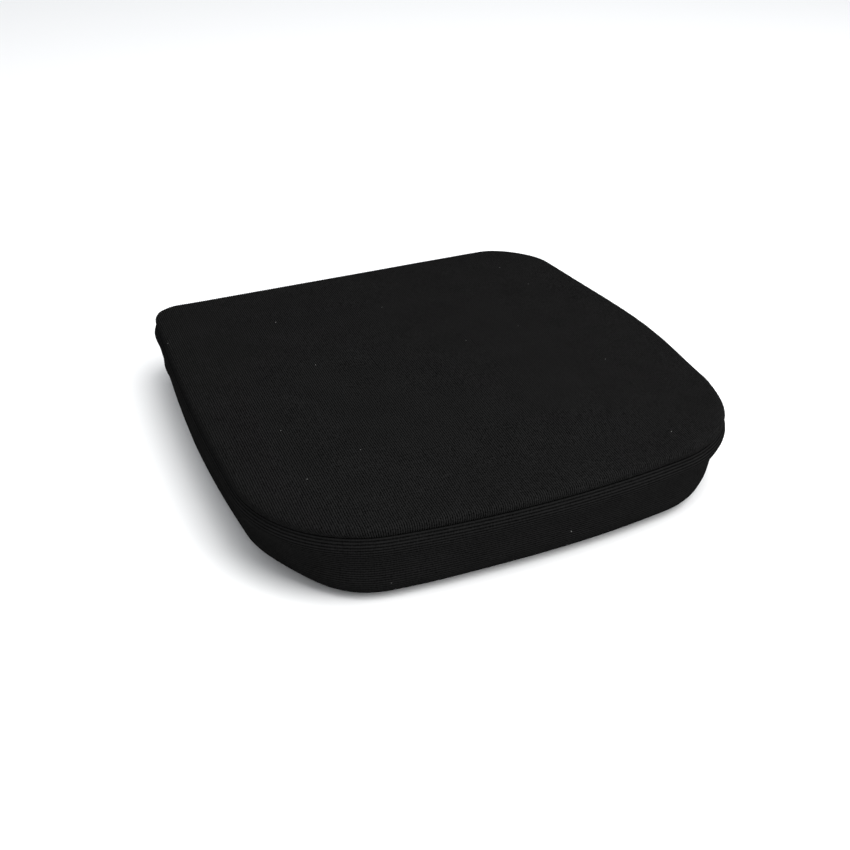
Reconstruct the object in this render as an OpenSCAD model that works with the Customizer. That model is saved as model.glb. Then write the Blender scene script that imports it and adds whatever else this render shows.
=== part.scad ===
// Boxed seat cushion: a foam slab in a sewn, zipped cover with a non-slip base.
// Millimetres. +X is the sitter's right, -Y the front edge, +Z up.
// The origin is the middle of the underside, on the faces of the grip dots.

/* [Cushion] */
// Widest part, across the front shoulders
cushion_w = 419; // [380:1:460]
// Front edge to back edge
cushion_d = 400; // [380:1:420]
// Underside to the rolled top edge
edge_h = 67.5; // [60:0.5:76]
// Extra height at the middle of the top
crown = 2.5; // [0:0.5:6]

/* [Outline] */
// Radius of the two front corners
front_corner_r = 100; // [80:1:120]
// Radius of the back corner on the sitter's left, where the cover is pulled tight
back_left_r = 32; // [28:1:60]
// Radius of the back corner on the sitter's right
back_right_r = 56; // [28:1:60]
// Radius that the front edge is bowed to
front_bow_r = 900; // [800:10:3000]
// Radius that each side is bowed to
side_bow_r = 2200; // [1800:100:9000]
// How much narrower each side is at the back
back_taper = 14; // [6:1:20]

/* [Cover] */
// Thickness of the rib-knit cloth
cloth_t = 1.4; // [1:0.1:1.6]
// Drop from the top edge to the top seam
seam_drop = 7.6; // [6.5:0.1:9]
// How far the band draws in at the foot of the front corners
corner_pull = 6; // [0:1:10]
// Thickness of the cloth under the cushion
base_cloth_t = 1.1; // [0.8:0.1:1.2]

/* [Foam] */
// Height of the glue line between the two foams
foam_split_h = 42.4; // [42.2:0.1:46]

/* [Grip] */
// Height of each grip dot
dot_h = 0.9; // [0.6:0.1:1]
// Diameter of each grip dot
dot_d = 5; // [3:0.5:8]
// Spacing of the grip dots along a row
dot_gap = 24; // [20:1:40]

/* [Zip] */
// Height of the zip above the underside
zip_h = 28; // [27:0.5:28]
// Distance from each end of the chain to the upright seam beside it
zip_margin = 14; // [14:1:40]
// Pitch of the coil teeth
coil_pitch = 1.7; // [1.6:0.1:2.4]
// Length of the pull tab beyond its pivot
pull_l = 20; // [18:1:20]

/* [Hidden] */
$fn = 32;

knit_black = [0.09, 0.09, 0.09];
thread_black = [0.05, 0.05, 0.05];

// ---- Outline: four corner arcs joined by bowed edges, all tangent ----

front_y = -cushion_d / 2;
back_y = cushion_d / 2;
front_corner_c = [cushion_w / 2 - front_corner_r,
                  front_y + front_bow_r - sqrt(pow(front_bow_r - front_corner_r, 2)
                                               - pow(cushion_w / 2 - front_corner_r, 2))];
front_bow_c = [0, front_y + front_bow_r];
// Centre of the wider back corner: the back strips lie between it and its mirror image
back_r = max(back_left_r, back_right_r);
back_corner_c = [cushion_w / 2 - back_taper - back_r, back_y - back_r];

function heading(v) = atan2(v.y, v.x);
front_end_a = heading(front_corner_c - front_bow_c);

// A station is [centre x, centre y, radius, direction, corner weight]
function arc_stations(c, r, a0, a1, n, corner = false) =
    [for (i = [1:n]) let (t = i / n)
        [c.x, c.y, r, a0 + (a1 - a0) * t, corner ? pow(sin(180 * t), 2) : 0]];

// From the middle of the front edge to the back strips, with the side's bow tangent to both corners
function half_outline(r) = let (
    corner_c = [cushion_w / 2 - back_taper - r, back_y - r],
    step = corner_c - front_corner_c,
    reach = norm(step),
    bow_to_front = side_bow_r - front_corner_r,
    along = (pow(bow_to_front, 2) - pow(side_bow_r - r, 2) + pow(reach, 2)) / (2 * reach),
    aside = sqrt(pow(bow_to_front, 2) - pow(along, 2)),
    side_bow_c = front_corner_c + along * step / reach + aside * [-step.y, step.x] / reach,
    side_start_a = heading(front_corner_c - side_bow_c),
    side_end_a = heading(corner_c - side_bow_c))
    concat(
        arc_stations(front_bow_c, front_bow_r, -90, front_end_a, 6),
        arc_stations(front_corner_c, front_corner_r, front_end_a, side_start_a, 12, true),
        arc_stations(side_bow_c, side_bow_r, side_start_a, side_end_a, 6),
        arc_stations(corner_c, r, side_end_a, 90, 8),
        corner_c.x > back_corner_c.x + 1 ? [[back_corner_c.x, corner_c.y, r, 90, 0]] : []);
right_half = half_outline(back_right_r);
left_half = half_outline(back_left_r);

// Point of a station, drawn in by inset all round and by pull at the front corners
function place(s, inset, pull = 0) =
    let (r = s[2] - inset - pull * s[4]) [s[0] + r * cos(s[3]), s[1] + r * sin(s[3])];
function mirrored(p) = [-p.x, p.y];

// Anticlockwise from above, starting at the middle of the front edge
function outline(inset, pull = 0) = concat(
    [[0, front_y + inset]],
    [for (s = right_half) place(s, inset, pull)],
    [for (i = [len(left_half) - 1:-1:0]) mirrored(place(left_half[i], inset, pull))]);

// ---- Sections through the edge ----

seam_gap = 0.5;
seam_h = edge_h - seam_drop;
foot_h = 1.5;
zip_inset = 5;
// Top panel, from the seam inwards: [inset, height, slope of the cloth's normal]
top_section = [[1.3, seam_h, 0], [0.3, seam_h + 1.3, 0], [0, seam_h + 2.9, 15],
               [0.7, seam_h + 4.8, 35], [2.6, seam_h + 6.5, 57], [5.6, edge_h - 0.3, 78],
               [10, edge_h, 90]];
// Side band, from the seam to the foot: [inset, height, share of the corner pull]
band_section = [[1.3, seam_h - seam_gap, 0], [2.6, seam_h - 3, 0], [3.8, 47, 0.1],
                [4.7, 42, 0.2], [zip_inset, 38, 0.3], [zip_inset, 17, 0.6],
                [6.5, 12, 0.75], [9.6, 7, 0.9], [13.6, 3.2, 1], [17.4, foot_h, 1]];
top_n = len(top_section) - 1;
band_n = len(band_section) - 1;
// Share of the cloth's thickness that lies inwards and upwards at each band point
band_normal = [for (i = [0:band_n]) i < 7 ? [1, 0] : i == 7 ? [1, 0.85] : [0.55, 0.85]];
crown_steps = [0.92, 0.75, 0.5, 0.25];
base_inset = band_section[band_n][0] + 1;

function under_panel(i, t) = [top_section[i][0] + t * cos(top_section[i][2]),
                              top_section[i][1] - t * sin(top_section[i][2])];
function under_band(i, t) = [band_section[i][0] + t * band_normal[i][0],
                             band_section[i][1] + t * band_normal[i][1]];

function lift(points, z) = [for (p = points) [p.x, p.y, z]];
// Ring of the domed middle of a panel, shrunk towards the centre line
function crown_ring(z, scale) =
    [for (p = outline(top_section[top_n][0]))
        [p.x * scale, p.y * scale, z + crown * (1 - scale * scale)]];
function panel_ring(i, t) = let (e = under_panel(i, t)) lift(outline(e[0]), e[1]);
function band_ring(i, t) = let (e = under_band(i, t))
    lift(outline(e[0], corner_pull * band_section[i][2]), e[1]);

// Skin over a list of equal rings: capped at both ends, or joined into a loop
module loft(rings, looped = false) {
    n = len(rings[0]);
    m = len(rings);
    points = [for (ring = rings) each ring];
    last = looped ? m - 1 : m - 2;
    sides = [for (j = [0:last]) for (i = [0:n - 1])
        let (a = j * n + i, b = j * n + (i + 1) % n,
             c = ((j + 1) % m) * n + (i + 1) % n, d = ((j + 1) % m) * n + i)
        each [[a, c, b], [a, d, c]]];
    caps = looped ? [] : [[for (i = [0:n - 1]) i], [for (i = [n - 1:-1:0]) (m - 1) * n + i]];
    polyhedron(points = points, faces = concat(sides, caps), convexity = 6);
}

// One cross-section per station, from the left half round the front to the right half
function swept(left_rings, first, right_rings) = concat(
    [for (i = [len(left_rings) - 1:-1:0]) [for (p = left_rings[i]) [-p.x, p.y, p.z]]],
    [first], right_rings);
front_middle = [front_bow_c.x, front_bow_c.y, front_bow_r, -90, 0];

// Thread along the whole outline
module seam_loop(inset, z, pull, r) {
    sides = 6;
    function ring(s) = [for (k = [0:sides - 1])
        let (p = place(s, inset + r * cos(k * 360 / sides), pull))
        [p.x, p.y, z + r * sin(k * 360 / sides)]];
    color(thread_black)
    loft(swept([for (s = left_half) ring(s)], ring(front_middle), [for (s = right_half) ring(s)]),
         looped = true);
}

// Bar along X whose section is a list of [y, z] points
module bar_x(points, x0, x1) {
    translate([x0, 0, 0]) rotate([90, 0, 90]) linear_extrude(x1 - x0) polygon(points);
}
module block(low, high) {
    translate(low) cube(high - low);
}

// ---- Cover ----

module cover_top_panel() {
    color(knit_black)
    loft(concat(
        [for (i = [len(crown_steps) - 1:-1:0]) crown_ring(edge_h - cloth_t, crown_steps[i])],
        [for (i = [top_n:-1:0]) panel_ring(i, cloth_t)],
        [for (i = [0:top_n]) panel_ring(i, 0)],
        [for (scale = crown_steps) crown_ring(edge_h, scale)]));
}

module cover_side_band() {
    function point(s, i, t) = let (e = under_band(i, t),
        p = place(s, e[0], corner_pull * band_section[i][2])) [p.x, p.y, e[1]];
    function cross_ring(s) = concat([for (i = [0:band_n]) point(s, i, 0)],
                                    [for (i = [band_n:-1:0]) point(s, i, cloth_t)]);
    color(knit_black)
    loft(swept([for (s = left_half) cross_ring(s)], cross_ring(front_middle),
               [for (s = right_half) cross_ring(s)]));
}

// The back is flat between the back corners, and the zip runs along it
zip_y = back_y - zip_inset;
strip_end_x = back_corner_c.x - 0.5;
zip_window = 5.5;
hem_h = 4.5;
function back_point(e) = [back_y - e[0], e[1]];

module back_strip(outer, inner, hem_low) {
    color(knit_black) union() {
        bar_x(concat(outer, inner), -strip_end_x, strip_end_x);
        block([-strip_end_x, zip_y - 2 * cloth_t, hem_low],
              [strip_end_x, zip_y - cloth_t / 2, hem_low + hem_h]);
    }
}

module back_strip_upper() {
    edge = zip_h + zip_window;
    back_strip(concat([for (i = [0:4]) back_point(band_section[i])], [[zip_y, edge]]),
               concat([[zip_y - cloth_t, edge]],
                      [for (i = [4:-1:0]) back_point(under_band(i, cloth_t))]), edge);
}

module back_strip_lower() {
    edge = zip_h - zip_window;
    back_strip(concat([[zip_y, edge]], [for (i = [5:band_n]) back_point(band_section[i])]),
               concat([for (i = [band_n:-1:5]) back_point(under_band(i, cloth_t))],
                      [[zip_y - cloth_t, edge]]), edge - hem_h);
}

coat_t = 0.3;
base_h = dot_h + coat_t;

module base_panel() {
    color(knit_black) translate([0, 0, base_h])
    linear_extrude(base_cloth_t) polygon(outline(base_inset, corner_pull));
}

// Half the room for dots across the cushion at a given depth, by the arc that bounds it there
function room_x(y, inset) =
    y < front_corner_c.y
        ? front_corner_c.x + sqrt(max(0, pow(front_corner_r - inset, 2) - pow(y - front_corner_c.y, 2)))
        : y > back_corner_c.y
        ? back_corner_c.x + sqrt(max(0, pow(back_r - inset, 2) - pow(y - back_corner_c.y, 2)))
        : back_corner_c.x + back_r - inset;

// Rubber printed on the base cloth: a thin coat with raised dots
module grip_dots() {
    edge = base_inset + 2;
    dot_inset = edge + dot_d;
    row_gap = dot_gap * sin(60);
    rows = floor((cushion_d / 2 - dot_inset) / row_gap);
    color([0.13, 0.13, 0.13]) union() {
        translate([0, 0, dot_h]) linear_extrude(coat_t) polygon(outline(edge, corner_pull));
        for (row = [-rows:rows]) {
            y = row * row_gap;
            shift = (row % 2 == 0) ? 0 : dot_gap / 2;
            reach = room_x(y, dot_inset) - shift;
            columns = floor(reach / dot_gap);
            for (column = [-columns - (shift > 0 ? 1 : 0):columns])
                translate([shift + column * dot_gap, y, 0])
                cylinder(d = dot_d, h = dot_h + coat_t / 2);
        }
    }
}

// ---- Foam: a firm block with a softer layer glued on top ----

foam_gap = 0.5;
foam_side_t = cloth_t + foam_gap;
split_inset = under_band(3, foam_side_t)[0];
split_ring = lift(outline(split_inset, corner_pull * band_section[3][2]), foam_split_h);

module base_foam() {
    groove_x = back_corner_c.x + 1;
    groove_y = zip_y - 2 * cloth_t - 2.9;
    groove_half = zip_window + hem_h + 0.6;
    color([0.85, 0.83, 0.74]) difference() {
        loft(concat([for (i = [band_n:-1:3]) band_ring(i, foam_side_t)], [split_ring]));
        block([-groove_x, groove_y, zip_h - groove_half], [groove_x, back_y, zip_h + groove_half]);
    }
}

module comfort_foam() {
    color([0.93, 0.91, 0.85])
    loft(concat([split_ring], [for (i = [2:-1:0]) band_ring(i, foam_side_t)],
                [for (i = [0:top_n]) panel_ring(i, foam_side_t)],
                [for (scale = crown_steps) crown_ring(edge_h - foam_side_t, scale)]));
}

// ---- Sewing thread ----

module top_seam_thread() {
    seam_loop(2, seam_h - seam_gap / 2, 0, 0.2);
}

module bottom_seam_thread() {
    seam_loop(band_section[band_n][0] + 0.55, foot_h - 0.05, corner_pull, 0.3);
}

// Where the back strips meet the side band
module corner_seam_threads() {
    outer = [for (i = [0:band_n]) back_point(under_band(i, 0.4 * cloth_t))];
    inner = [for (i = [band_n:-1:0]) back_point(under_band(i, 0.8 * cloth_t))];
    color(thread_black) for (x = [-1, 1])
        bar_x(concat(outer, inner), x * (strip_end_x + 0.25) - 0.15, x * (strip_end_x + 0.25) + 0.15);
}

chain_l = 2 * (strip_end_x - zip_margin);
stitch_l = chain_l + 18;
module zip_stitch(z) {
    color(thread_black) block([-stitch_l / 2, zip_y, z - 0.3], [stitch_l / 2, zip_y + 0.4, z + 0.3]);
}
module zip_stitch_upper() { zip_stitch(zip_h + 8); }
module zip_stitch_lower() { zip_stitch(zip_h - 8); }

// Plain tag sewn into the top seam, flat against the upper strip
module care_label() {
    tag_t = 0.4;
    shape = [for (i = [0:4]) back_point(band_section[i])];
    outer = [for (p = shape) [p.x + tag_t, p.y]];
    color([0.8, 0.8, 0.78]) bar_x(concat(outer, [for (i = [4:-1:0]) shape[i]]), -118, -96);
}

// ---- Zip: outward from the foam lie the tape, the coil and the slider's face ----

tape_t = 0.8;
tape_y = zip_y - 2 * cloth_t - tape_t;
coil_y = tape_y + tape_t;
coil_t = 2.2;
slot_half = 0.7;
coil_half = 3.2;

module zip_tape(side) {
    low = side > 0 ? zip_h + slot_half : zip_h - zip_window - hem_h;
    high = side > 0 ? zip_h + zip_window + hem_h : zip_h - slot_half;
    color([0.07, 0.07, 0.07])
    block([-strip_end_x + 1.5, tape_y, low], [strip_end_x - 1.5, tape_y + tape_t, high]);
}
module zip_tape_upper() { zip_tape(1); }
module zip_tape_lower() { zip_tape(-1); }

// Half of the chain: a cord with a row of tooth loops towards the slot
module zip_coil(side) {
    cord = slot_half + 1.3;
    tooth = coil_pitch * 0.55;
    count = floor(chain_l / coil_pitch);
    start = -count * coil_pitch / 2;
    teeth = [for (k = [0:count - 1]) let (x = start + (k + (side > 0 ? 0.1 : 0.35)) * coil_pitch)
        each [[x, cord], [x, slot_half], [x + tooth, slot_half], [x + tooth, cord]]];
    color([0.06, 0.06, 0.06])
    translate([0, coil_y + coil_t, zip_h]) rotate([90, 0, 0]) linear_extrude(coil_t)
    polygon([for (p = concat([[-chain_l / 2, cord]], teeth, [[chain_l / 2, cord],
             [chain_l / 2, coil_half], [-chain_l / 2, coil_half]])) [p.x, side * p.y]]);
}
module zip_coil_upper() { zip_coil(1); }
module zip_coil_lower() { zip_coil(-1); }

stop_gap = 0.3;
module zip_top_stops() {
    x = chain_l / 2 + stop_gap;
    color([0.3, 0.3, 0.31]) for (side = [-1, 1])
        block([x, coil_y, zip_h + (side > 0 ? slot_half : -coil_half)],
              [x + 2.6, coil_y + coil_t, zip_h + (side > 0 ? coil_half : -slot_half)]);
}
module zip_bottom_stop() {
    x = -chain_l / 2 - stop_gap;
    color([0.3, 0.3, 0.31])
    block([x - 3, coil_y, zip_h - coil_half], [x, coil_y + coil_t, zip_h + coil_half]);
}

// Slider: two plates joined by a neck that rides in the slot, and a bridge for the pull
run_gap = 0.3;
plate_t = 1.1;
slider_half = 5.2;
slider_x = chain_l / 2 - slider_half - run_gap;
face_y = coil_y + coil_t + run_gap;
bridge_y = face_y + plate_t;
pivot_y = bridge_y + 1.1;

module zip_slider() {
    plate = [[slider_half, 1.6], [slider_half - 1, 4.9], [-1.5, 4.4], [1 - slider_half, 4.4],
             [-slider_half, 3.2]];
    mirrored_plate = [for (i = [len(plate) - 1:-1:0]) [plate[i].x, -plate[i].y]];
    module plate_at(y) {
        translate([0, y + plate_t, 0]) rotate([90, 0, 0])
        linear_extrude(plate_t) polygon(concat(plate, mirrored_plate));
    }
    color([0.22, 0.22, 0.23]) translate([slider_x, 0, zip_h]) union() {
        plate_at(face_y);
        plate_at(tape_y - run_gap - plate_t);
        for (side = [-1, 1])
            block([-4.4, coil_y + run_gap, side > 0 ? coil_half + run_gap : -4.4],
                  [3.8, face_y + plate_t / 2, side > 0 ? 4.4 : -coil_half - run_gap]);
        block([2.3, tape_y - run_gap - plate_t / 2, -0.4], [4.6, face_y + plate_t / 2, 0.4]);
        difference() {
            block([-3.6, bridge_y - plate_t / 2, -1], [3.6, bridge_y + 2.9, 1]);
            block([-2.6, bridge_y, -2], [2.6, bridge_y + 1.9, 2]);
        }
    }
}

// Pull: a bar under the bridge, two arms round it and a tab with an eye
module zip_pull() {
    tab_t = 1.2;
    eye = 2.6;
    tip = -pull_l;
    color([0.22, 0.22, 0.23]) translate([slider_x, pivot_y, zip_h]) union() {
        translate([0, tab_t / 2, 0]) rotate([90, 0, 0]) linear_extrude(tab_t) difference() {
            polygon([[0.6, -2.9], [0.6, 2.9], [-6, 2.9], [tip + 3, 3.7], [tip, 2.4],
                     [tip, -2.4], [tip + 3, -3.7], [-6, -2.9]]);
            translate([-5.6, -1.6]) square([7, 3.2]);
            translate([tip + 4.4, 0]) circle(d = eye);
        }
        translate([0, 0, -2.2]) cylinder(r = 0.55, h = 4.4);
    }
}

cover_top_panel();
cover_side_band();
back_strip_upper();
back_strip_lower();
base_panel();
grip_dots();
base_foam();
comfort_foam();
top_seam_thread();
bottom_seam_thread();
corner_seam_threads();
zip_tape_upper();
zip_tape_lower();
zip_coil_upper();
zip_coil_lower();
zip_stitch_upper();
zip_stitch_lower();
zip_top_stops();
zip_bottom_stop();
zip_slider();
zip_pull();
care_label();
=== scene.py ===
import math

import bmesh
import bpy
import numpy as np
from mathutils import Matrix, Vector, kdtree, noise


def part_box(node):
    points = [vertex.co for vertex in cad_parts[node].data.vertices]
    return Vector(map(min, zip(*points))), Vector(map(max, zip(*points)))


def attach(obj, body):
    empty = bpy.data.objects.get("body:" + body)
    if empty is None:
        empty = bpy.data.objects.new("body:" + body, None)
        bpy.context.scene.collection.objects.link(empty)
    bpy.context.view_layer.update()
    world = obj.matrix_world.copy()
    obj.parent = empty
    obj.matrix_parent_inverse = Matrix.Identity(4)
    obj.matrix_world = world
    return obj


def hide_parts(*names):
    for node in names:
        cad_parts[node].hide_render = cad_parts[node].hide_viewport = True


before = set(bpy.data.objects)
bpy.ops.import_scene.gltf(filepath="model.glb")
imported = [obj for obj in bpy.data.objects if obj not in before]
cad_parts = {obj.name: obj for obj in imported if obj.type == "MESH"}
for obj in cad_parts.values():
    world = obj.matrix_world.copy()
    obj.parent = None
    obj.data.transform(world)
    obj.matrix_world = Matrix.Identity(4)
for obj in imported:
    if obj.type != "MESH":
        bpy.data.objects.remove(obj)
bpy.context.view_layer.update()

mm = 0.001
print("frame loaded")


# the cushion seen from above: corner arcs joined by bowed edges, as in the frame
cushion = {
    "frontCornerR": 100 * mm,
    "backLeftR": 32 * mm,
    "backRightR": 56 * mm,
    "frontBowR": 900 * mm,
    "sideBowR": 2200 * mm,
    "backTaper": 14 * mm,
    "cornerPull": 6 * mm,      # how far the band draws in at the foot of the front corners
    # how much the foot is drawn in along a front corner, from the front edge to the side, and
    # along the first half of the side: the left corner has been pulled in further
    "rightCorner": [0, 0.25, 0.75, 1, 0.75, 0.25, 0],
    "rightSide": [0, 0, 0],
    "leftCorner": [-0.6, -0.4, 0.3, 1.2, 1.7, 1.5, 1.05],
    "leftSide": [1.05, 0.35, 0],
    "frontShare": [0, 0.15, 0.6, 1],   # the front edge takes up what the corner starts with
    # (how far a corner or side stands out, or gives way if under 0, and where along it, going
    # from front to back: 1 is its middle, under 1 is nearer the front and over 1 nearer the back)
    "backRightEase": (-3 * mm, 1.0),
    "rightBulge": (5.0 * mm, 0.72),
    "rightFrontEase": (-2.4 * mm, 3.0),
    "backLeftEase": (5.0 * mm, 0.8),
    "noEase": (0.0, 1.0),
    "easeBlend": 13 * mm,
    "sag": 3.0 * mm,           # the top droops over the right front corner
    "sagAt": (0.206, -0.085),
    "sagSize": 62 * mm,
    "crown": 2.0 * mm,         # rise of the foam under the middle of the top
    "edgeBand": 55 * mm,       # distance over which the crown rises
    "unevenness": 0.22 * mm,   # slow waves left in the cloth
    "pucker": 0.22 * mm,       # small gathers along the top seam
    "ribLean": math.radians(2.4),   # the knit was cut a little off straight
}


def nodeBox(node):
    low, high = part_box(node)
    return np.array(low, float), np.array(high, float)


panelLow, panelHigh = nodeBox("cover_top_panel")
frontY, backY, halfW = panelLow[1], panelHigh[1], (panelHigh[0] - panelLow[0]) / 2
seamZ = panelLow[2]
edgeZ = seamZ + 7.6 * mm
stripX = nodeBox("back_strip_upper")[1][0]     # the back strips end at the upright seams
sliderLow, sliderHigh = nodeBox("zip_slider")
zipZ = (sliderLow[2] + sliderHigh[2]) / 2


def heading(v):
    return math.atan2(v[1], v[0])


def unit(v):
    return v / np.linalg.norm(v, axis=1)[:, None]


def runOf(points):
    # distance along a line of points
    return np.concatenate([[0], np.cumsum(np.linalg.norm(np.diff(points, axis=0), axis=1))])


def curveAt(a, b, c, d, t):
    # between b and c, on a smooth curve through four points
    return 0.5 * (2 * b + (c - a) * t + (2 * a - 5 * b + 4 * c - d) * t ** 2
                  + (3 * b - a - 3 * c + d) * t ** 3)


def treeOf(points):
    tree = kdtree.KDTree(len(points))
    for i, p in enumerate(points.tolist()):
        tree.insert(p, i)
    tree.balance()
    return tree


def arcRun(centre, radius, start, end, step, weight=None, ease=cushion["noEase"]):
    # points, outward normals, pull weights and how far the cloth stands out, along one arc
    count = max(2, round(abs(end - start) * radius / step))
    t = (np.arange(count) + 0.5) / count
    angle = start + (end - start) * t
    normal = np.stack([np.cos(angle), np.sin(angle)], 1)
    share = np.zeros(count) if weight is None else weight(t)
    return np.array(centre) + radius * normal, normal, share, ease[0] * np.sin(np.pi * t ** ease[1]) ** 2


def easeThrough(values):
    # a smooth curve through evenly spaced values
    v = np.array([2 * values[0] - values[1], *values, 2 * values[-1] - values[-2]], float)

    def at(t):
        u = np.clip(t, 0, 1) * (len(values) - 1)
        k = np.minimum(u.astype(int), len(values) - 2)
        return curveAt(v[k], v[k + 1], v[k + 2], v[k + 3], u - k)
    return at


def halfOutline(step, backR, corner, side, frontEase, sideEase, backEase, spec=cushion):
    # the right half, from the middle of the front edge to the middle of the back edge
    rf, rBow, rSide = spec["frontCornerR"], spec["frontBowR"], spec["sideBowR"]
    bow = np.array([0, frontY + rBow])
    front = np.array([halfW - rf, 0])
    front[1] = bow[1] - math.sqrt((rBow - rf) ** 2 - front[0] ** 2)
    back = np.array([halfW - spec["backTaper"] - backR, backY - backR])
    reach = back - front
    length = np.linalg.norm(reach)
    along = ((rSide - rf) ** 2 - (rSide - backR) ** 2 + length ** 2) / (2 * length)
    aside = math.sqrt((rSide - rf) ** 2 - along ** 2)
    middle = front + along * reach / length + aside * np.array([-reach[1], reach[0]]) / length
    a0, a1, a2 = heading(front - bow), heading(front - middle), heading(back - middle)
    edgeShare, alongSide = easeThrough(spec["frontShare"]), easeThrough(side)
    runs = [arcRun(bow, rBow, -math.pi / 2, a0, step, lambda t: corner[0] * edgeShare(t)),
            arcRun(front, rf, a0, a1, step, easeThrough(corner), frontEase),
            arcRun(middle, rSide, a1, a2, step, lambda t: alongSide(2 * t), sideEase),
            arcRun(back, backR, a2, math.pi / 2, step, None, backEase)]
    count = max(2, round(back[0] / step))
    x = back[0] * (1 - (np.arange(count) + 0.5) / count)
    runs.append((np.stack([x, np.full(count, backY)], 1),
                 np.tile([0.0, 1.0], (count, 1)), np.zeros(count), np.zeros(count)))
    return [np.concatenate([run[k] for run in runs]) for k in range(4)]


def traceOutline(step):
    # anticlockwise from the middle of the front edge: point, outward normal, pull weight
    right = halfOutline(step, cushion["backRightR"], cushion["rightCorner"], cushion["rightSide"],
                        cushion["rightFrontEase"], cushion["rightBulge"], cushion["backRightEase"])
    left = halfOutline(step, cushion["backLeftR"], cushion["leftCorner"], cushion["leftSide"],
                       cushion["noEase"], cushion["noEase"], cushion["backLeftEase"])
    flip = np.array([-1, 1])
    point = np.concatenate([right[0], (left[0] * flip)[::-1]])
    normal = np.concatenate([right[1], (left[1] * flip)[::-1]])
    ease = np.concatenate([right[3], left[3][::-1]])
    # no corner is left in the outline where one ease ends and the next begins
    run = runOf(point)
    gap = np.abs(run[:, None] - run)
    gap = np.minimum(gap, run[-1] + step - gap)
    share = np.exp(-(gap / cushion["easeBlend"]) ** 2)
    ease = share @ ease / share.sum(1)
    return point + normal * ease[:, None], normal, np.concatenate([right[2], left[2][::-1]])


def smoothLine(points, step):
    # even steps along a smooth curve through the points
    p = np.array(points, float)
    p = np.concatenate([[2 * p[0] - p[1]], p, [2 * p[-1] - p[-2]]])
    out = [curveAt(*four, t) for four in zip(p, p[1:], p[2:], p[3:]) for t in np.arange(12) / 12]
    out = np.array(out + [p[-2]])
    run = runOf(out)
    s = np.linspace(0, run[-1], max(2, round(run[-1] / step) + 1))
    return s, np.stack([np.interp(s, run, out[:, k]) for k in range(out.shape[1])], 1)


def addObject(name, data):
    made = bpy.data.objects.new(name, data)
    bpy.context.scene.collection.objects.link(made)
    return made


def makePiece(name, points, faces, material=None, cloth=None, smooth=True):
    mesh = bpy.data.meshes.new(name)
    faces = faces.tolist() if isinstance(faces, np.ndarray) else faces
    mesh.from_pydata(np.asarray(points, float).tolist(), [], faces)
    mesh.validate()
    mesh.polygons.foreach_set("use_smooth", [smooth] * len(mesh.polygons))
    if cloth is not None:
        layer = mesh.attributes.new("cloth", "FLOAT_VECTOR", "POINT")
        layer.data.foreach_set("vector", np.asarray(cloth, np.float32).ravel())
    piece = addObject(name, mesh)
    if material:
        mesh.materials.append(material)
    return piece


def gridFaces(rows, columns, wrap=False, flip=False):
    r = np.arange(rows - 1)[:, None] * columns
    c = np.arange(columns if wrap else columns - 1)[None]
    n = (c + 1) % columns
    quads = np.stack([r + c, r + n, r + n + columns, r + c + columns], -1).reshape(-1, 4)
    return quads[:, ::-1] if flip else quads


def tubeFaces(rings, sides, start=0):
    # faces along a run of rings, closed at both ends
    ends = start, start + (rings - 1) * sides
    lids = [[end + i for i in range(sides)] for end in ends]
    return (gridFaces(rings, sides, wrap=True) + start).tolist() + [lids[0][::-1], lids[1]]


def makeSheet(name, front, back, rows, columns, material, flip=True):
    # thin cloth with a front, a back and closed edges
    n = rows * columns
    index = np.arange(n).reshape(rows, columns)
    rim = np.concatenate([index[0], index[1:, -1], index[-1, -2::-1], index[-2:0:-1, 0]])
    turn = np.roll(rim, -1)
    edge = (rim, turn, turn + n, rim + n) if flip else (turn, rim, rim + n, turn + n)
    faces = [gridFaces(rows, columns, flip=flip), gridFaces(rows, columns, flip=not flip) + n,
             np.stack(edge, 1)]
    return makePiece(name, np.vstack([front, back]), np.vstack(faces), material)


def fitPiece(piece, body, slot, *nodes):
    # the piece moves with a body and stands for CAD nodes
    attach(piece, body)
    if nodes:
        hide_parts(*nodes)


# materials: nodes are made with a few short helpers

nodeTree = None      # of the material being made


def newMaterial(name):
    global nodeTree
    material = bpy.data.materials.new(name)
    material.use_nodes = True
    nodeTree = material.node_tree
    nodeTree.nodes.clear()
    out = nodeTree.nodes.new("ShaderNodeOutputMaterial")
    shader = nodeTree.nodes.new("ShaderNodeBsdfPrincipled")
    nodeTree.links.new(shader.outputs[0], out.inputs[0])
    return material, shader


def feed(socket, value):
    # a number or colour is set on the socket, anything else is linked to it
    if isinstance(value, (int, float)):
        socket.default_value = value
    elif isinstance(value, tuple):
        socket.default_value = (*value, 1)
    elif value is not None:
        nodeTree.links.new(value, socket)


def mathNode(operation, *values):
    node = nodeTree.nodes.new("ShaderNodeMath")
    node.operation = operation
    for socket, value in zip(node.inputs, values):
        feed(socket, value)
    return node.outputs[0]


def noiseNode(vector, scale, detail=3.0, roughness=0.55):
    node = nodeTree.nodes.new("ShaderNodeTexNoise")
    node.inputs["Scale"].default_value = scale
    node.inputs["Detail"].default_value = detail
    node.inputs["Roughness"].default_value = roughness
    nodeTree.links.new(vector, node.inputs["Vector"])
    return node.outputs[0]


def rampNode(value, stops):
    node = nodeTree.nodes.new("ShaderNodeValToRGB")
    ramp = node.color_ramp
    while len(ramp.elements) < len(stops):
        ramp.elements.new(0.5)
    for element, (place, shade) in zip(ramp.elements, stops):
        element.position = place
        element.color = (shade, shade, shade, 1) if isinstance(shade, float) else (*shade, 1)
    nodeTree.links.new(value, node.inputs[0])
    return node.outputs[0]


def mixColour(factor, a, b, blend="MIX"):
    node = nodeTree.nodes.new("ShaderNodeMix")
    node.data_type, node.blend_type = "RGBA", blend
    for socket, value in zip((node.inputs[0], node.inputs[6], node.inputs[7]), (factor, a, b)):
        feed(socket, value)
    return node.outputs[2]


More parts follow.
